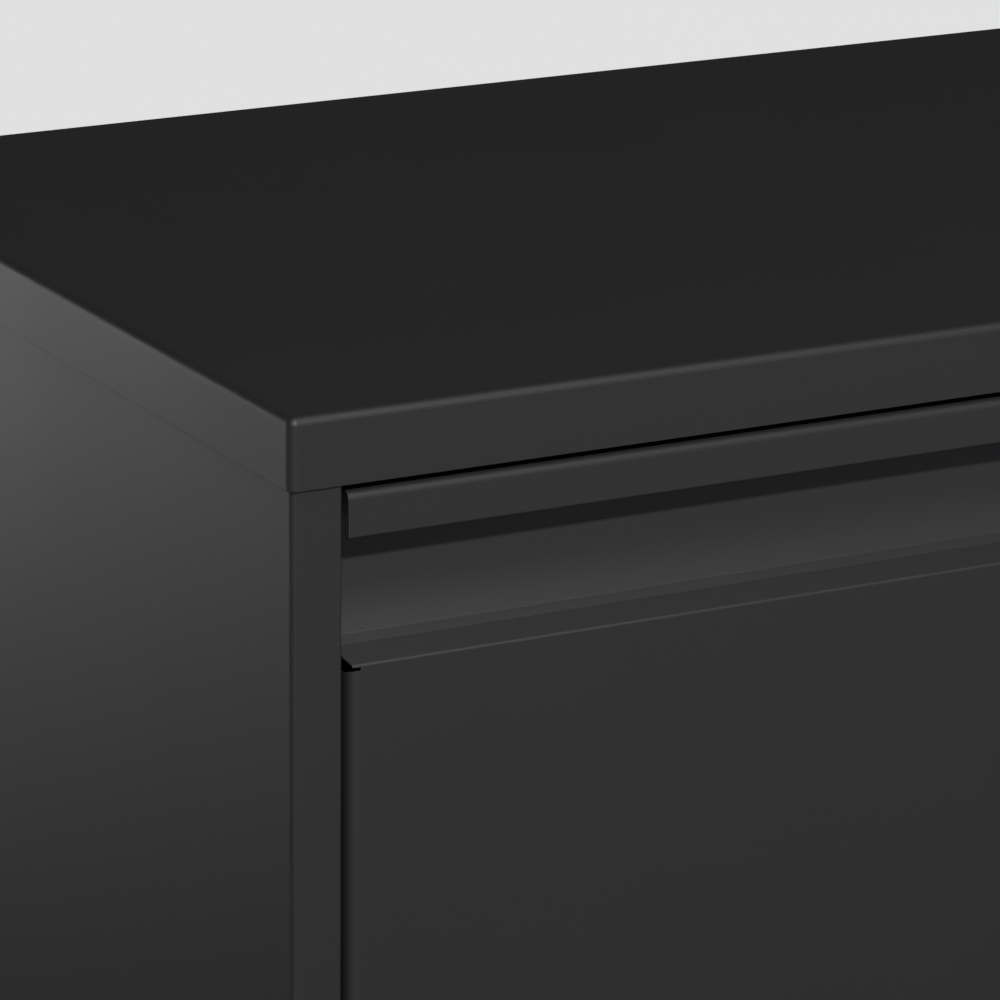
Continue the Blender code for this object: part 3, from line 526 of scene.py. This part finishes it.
def make_lock_bezel():
    """Turned ring of the lock, with its barrel behind the cap."""
    depth = housing_high.y - housing_low.y
    proud = CAP_FRONT - housing_low.y - 0.0001
    profile = (
        (0.0005, 0.0054), (0.0001, 0.0059), (0, 0.0066), (0.0002, 0.0078), (0.0009, 0.0092),
        (0.0014, 0.0096), (proud, 0.0096), (proud, 0.0079), (depth, 0.0079), (depth, 0.0054),
    )
    face = (LOCK.x, housing_low.y, LOCK.z)
    turned_piece(
        "lock_bezel", [(profile, face, (0, 1, 0))], MATERIALS["lock_chrome"], "case",
        ["lock_housing"], segments=64, closed=True,
    )


def make_glide(corner):
    """Levelling glide: a moulded foot on a threaded stem."""
    body = f"glide_{corner}"
    low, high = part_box(f"glide_foot_{corner}")
    centre = Vector(((low.x + high.x) / 2, (low.y + high.y) / 2, 0))
    foot = (
        (0, 0), (0, 0.0120), (0.0005, 0.0140), (0.0015, 0.0154), (0.0032, 0.0160), (0.0052, 0.0160),
        (0.0060, 0.0156), (0.0066, 0.0146), (0.0078, 0.0090), (0.0087, 0.0076), (0.0087, 0),
    )
    turned_piece(
        f"glide_foot_round_{corner}", [(foot, centre, (0, 0, 1))], MATERIALS["glide_nylon"], body,
        [f"glide_foot_{corner}"], segments=48,
    )
    low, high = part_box(f"glide_stem_{corner}")
    start = low.z + THREAD_START
    stem = [(low.z, 0), (low.z, THREAD_CREST), (start, THREAD_CREST)]
    for step in range(int((high.z - start - THREAD_CREST + THREAD_ROOT) / THREAD_PITCH)):
        for share, radius in THREAD_FORM:
            stem.append((start + (step + share) * THREAD_PITCH, radius))
    stem += [(high.z, THREAD_ROOT), (high.z, 0)]
    turned_piece(
        f"glide_thread_{corner}", [(stem, centre, (0, 0, 1))], MATERIALS["zinc_plate"], body,
        [f"glide_stem_{corner}"], segments=28,
    )


def make_case_rivets():
    panel_low, panel_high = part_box("left_side_panel")
    shapes = []
    for side in (-1, 1):
        for step in range(CASE_RIVETS):
            height = panel_low.z + CASE_RIVET_RISE + step * CASE_RIVET_PITCH
            place = (side * CASE_RIVET_X, panel_high.y, height)
            shapes.append((RIVET, place, (0, 1, 0)))
    turned_piece("case_rivets", shapes, BLACK, "case", segments=24)


def make_box_rivets(drawer):
    low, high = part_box(f"{drawer}_back")
    pitch = (high.z - low.z - 2 * BOX_RIVET_END) / (BOX_RIVETS - 1)
    shapes = []
    for side in (-1, 1):
        for step in range(BOX_RIVETS):
            height = low.z + BOX_RIVET_END + step * pitch
            place = (side * (high.x - BOX_RIVET_INSET), high.y, height)
            shapes.append((RIVET, place, (0, 1, 0)))
    paint = MATERIALS["inner_paint"]
    turned_piece(f"{drawer}_box_rivets", shapes, paint, drawer, segments=24)


def make_slide_fittings(drawer):
    """Balls between the members, and the screws that hold each inner member to the drawer."""
    for word, side in (("left", -1), ("right", 1)):
        low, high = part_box(f"{drawer}_slide_middle_{word}")
        level = (low.z + high.z) / 2
        half = (high.z - low.z) / 2
        inner_low, inner_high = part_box(f"{drawer}_slide_inner_{word}")
        inner_half = (inner_high.z - inner_low.z) / 2
        arc = [step * math.pi / 8 for step in range(1, 8)]
        ball = [(-BALL_RADIUS * math.cos(angle), BALL_RADIUS * math.sin(angle)) for angle in arc]
        ball = [(-BALL_RADIUS, 0), *ball, (BALL_RADIUS, 0)]
        balls = []
        for row in (half + BALL_GAP / 2, inner_half + BALL_GAP / 2):
            for way in (-1, 1):
                for step in range(BALLS_IN_ROW):
                    along = low.y + FIRST_BALL + step * BALL_PITCH
                    place = ((low.x + high.x) / 2, along, level + way * row)
                    balls.append((ball, place, (0, 1, 0)))
        turned_piece(
            f"{drawer}_slide_balls_{word}", balls, MATERIALS["lock_chrome"],
            f"{drawer}_middle_member_{word}", segments=10,
        )
        web = min(abs(inner_low.x), abs(inner_high.x)) + MEMBER_WEB
        screws = [
            (SCREW_HEAD, (side * web, inner_low.y + along, level), (side, 0, 0)) for along in SCREW_PLACES
        ]
        turned_piece(
            f"{drawer}_slide_screws_{word}", screws, MATERIALS["zinc_plate"], drawer,
            segments=24,
        )


def finish_node(name, slot):
    """A CAD piece that keeps its shape: its slot's finish, broken edges and smooth bends."""
    obj = frame["nodes"][name]
    obj.data.materials.clear()
    obj.data.materials.append(MATERIALS[slot])
    obj.data.shade_smooth()
    obj.data.set_sharp_from_angle(angle=math.radians(30))
    round_edges(obj, EDGE_BREAK)


# ---------------------------------------------------------------- camera, light and floor

CAMERA_REACH = Vector((-0.8382, -1.7058, 0.5438))
CAMERA_YAW = 0.49619
CAMERA_PITCH = 0.29297
CAMERA_ROLL = 0.009965
CAMERA_LENS = 200.3
FLOOR_SIZE = 20
FLOOR_FRONT = 0.42
FLOOR_BACK = 0.02
FLOOR_RAMP = (-0.3, -1.2)
BACKDROP = 0.75
BACKDROP_START = 0.9
BACKDROP_FULL = 2.6


def look_matrix(place, yaw, pitch, roll):
    """Camera matrix: yaw turns from +Y towards +X, pitch looks down and roll leans the frame."""
    forward = Vector((math.sin(yaw) * math.cos(pitch), math.cos(yaw) * math.cos(pitch), -math.sin(pitch)))
    level = Vector((math.cos(yaw), -math.sin(yaw), 0))
    upright = level.cross(forward)
    right = math.cos(roll) * level + math.sin(roll) * upright
    up = math.cos(roll) * upright - math.sin(roll) * level
    matrix = Matrix((right, up, -forward)).transposed().to_4x4()
    matrix.translation = place
    return matrix


def make_camera():
    """Camera above and to the left of the front left corner of the cap."""
    data = bpy.data.cameras.new("camera")
    data.sensor_width = 36
    data.lens = CAMERA_LENS
    data.clip_start = 0.05
    data.clip_end = 50
    camera = bpy.data.objects.new("camera", data)
    bpy.context.scene.collection.objects.link(camera)
    corner = Vector((-CAP_SIDE, CAP_FRONT, CAP_TOP))
    place = corner + CAMERA_REACH
    camera.matrix_world = look_matrix(place, CAMERA_YAW, CAMERA_PITCH, CAMERA_ROLL)
    bpy.context.scene.camera = camera


def area_light(name, size, power, azimuth, elevation, distance, color=(1, 1, 1), aim=(0, 0, 0.45)):
    """Rectangular soft light: azimuth 0 is in front of the cabinet, positive to its right."""
    data = bpy.data.lights.new(name, "AREA")
    data.shape = "RECTANGLE"
    data.size, data.size_y = size
    data.energy = power
    data.color = color
    light = bpy.data.objects.new(name, data)
    bpy.context.scene.collection.objects.link(light)
    azimuth, elevation = math.radians(azimuth), math.radians(elevation)
    level = math.cos(elevation)
    away = Vector((math.sin(azimuth) * level, -math.cos(azimuth) * level, math.sin(elevation)))
    aim = Vector(aim)
    light.location = aim + distance * away
    light.rotation_euler = away.to_track_quat("Z", "Y").to_euler()
    light.visible_camera = False
    return light


def make_stage():
    """Pale floor, fading to the backdrop; for reflections it brightens towards the front."""
    bm = bmesh.new()
    bmesh.ops.create_grid(bm, x_segments=1, y_segments=1, size=FLOOR_SIZE)
    mesh = bpy.data.meshes.new("floor")
    bm.to_mesh(mesh)
    bm.free()
    floor = bpy.data.objects.new("floor", mesh)
    bpy.context.scene.collection.objects.link(floor)
    material = bpy.data.materials.new("pale_floor")
    material.use_nodes = True
    tree = material.node_tree
    tree.nodes.clear()
    seen = node(tree, "ShaderNodeBsdfDiffuse")
    seen.inputs["Color"].default_value = (0.72, 0.72, 0.71, 1)
    bounce = node(tree, "ShaderNodeEmission")
    place = node(tree, "ShaderNodeTexCoord")
    split = node(tree, "ShaderNodeSeparateXYZ")
    ramp = node(tree, "ShaderNodeMapRange")
    ramp.inputs["From Min"].default_value, ramp.inputs["From Max"].default_value = FLOOR_RAMP
    ramp.inputs["To Min"].default_value = FLOOR_BACK
    ramp.inputs["To Max"].default_value = FLOOR_FRONT
    tree.links.new(place.outputs["Object"], split.inputs[0])
    tree.links.new(split.outputs["Y"], ramp.inputs["Value"])
    tree.links.new(ramp.outputs[0], bounce.inputs["Strength"])
    path = node(tree, "ShaderNodeLightPath")
    mix = node(tree, "ShaderNodeMixShader")
    out = node(tree, "ShaderNodeOutputMaterial")
    away = node(tree, "ShaderNodeVectorMath", operation="LENGTH")
    fade = node(tree, "ShaderNodeMapRange")
    fade.inputs["From Min"].default_value = BACKDROP_START
    fade.inputs["From Max"].default_value = BACKDROP_FULL
    far = node(tree, "ShaderNodeEmission")
    far.inputs["Color"].default_value = (BACKDROP, BACKDROP, BACKDROP, 1)
    backdrop = node(tree, "ShaderNodeMixShader")
    tree.links.new(place.outputs["Object"], away.inputs[0])
    tree.links.new(away.outputs["Value"], fade.inputs["Value"])
    tree.links.new(fade.outputs[0], backdrop.inputs[0])
    tree.links.new(seen.outputs[0], backdrop.inputs[1])
    tree.links.new(far.outputs[0], backdrop.inputs[2])
    tree.links.new(path.outputs["Is Camera Ray"], mix.inputs[0])
    tree.links.new(bounce.outputs[0], mix.inputs[1])
    tree.links.new(backdrop.outputs[0], mix.inputs[2])
    tree.links.new(mix.outputs[0], out.inputs["Surface"])
    mesh.materials.append(material)


def make_world():
    """Pale behind the cabinet, and dim for all other light."""
    world = bpy.data.worlds.new("studio")
    bpy.context.scene.world = world
    world.use_nodes = True
    tree = world.node_tree
    tree.nodes.clear()
    seen = node(tree, "ShaderNodeBackground")
    seen.inputs["Color"].default_value = (BACKDROP, BACKDROP, BACKDROP, 1)
    dim = node(tree, "ShaderNodeBackground")
    dim.inputs["Color"].default_value = (0.04, 0.04, 0.041, 1)
    path = node(tree, "ShaderNodeLightPath")
    mix = node(tree, "ShaderNodeMixShader")
    out = node(tree, "ShaderNodeOutputWorld")
    tree.links.new(path.outputs["Is Camera Ray"], mix.inputs[0])
    tree.links.new(dim.outputs[0], mix.inputs[1])
    tree.links.new(seen.outputs[0], mix.inputs[2])
    tree.links.new(mix.outputs[0], out.inputs["Surface"])


make_camera()
make_cap()
make_side_panels()
for drawer in ("upper_drawer", "lower_drawer"):
    make_drawer_front(drawer)
    make_box_rivets(drawer)
    make_slide_fittings(drawer)
make_lock_bezel()
for corner in ("front_left", "front_right", "rear_left", "rear_right"):
    make_glide(corner)
make_case_rivets()
for subpart in frame["record"]["subparts"]:
    if frame["nodes"][subpart["node"]].visible_get():
        finish_node(subpart["node"], subpart["material_slot"])
make_stage()
make_world()
area_light("key", (0.24, 0.24), 235, -18, 35.7, 5.0)
area_light("front_fill", (1.8, 1.0), 4.5, 38, 14, 3.0, (0.72, 0.68, 1.0))
area_light("overhead", (1.6, 1.6), 22, 5, 62, 3.0)
area_light("rear_right", (2.4, 0.6), 8, 148, -3, 2.6)
area_light("rear", (2.4, 0.6), 30, 188, -3, 2.6)
area_light("rear_left", (0.8, 0.5), 4, -105, -5, 2.6)
bpy.context.scene.view_settings.view_transform = "Standard"
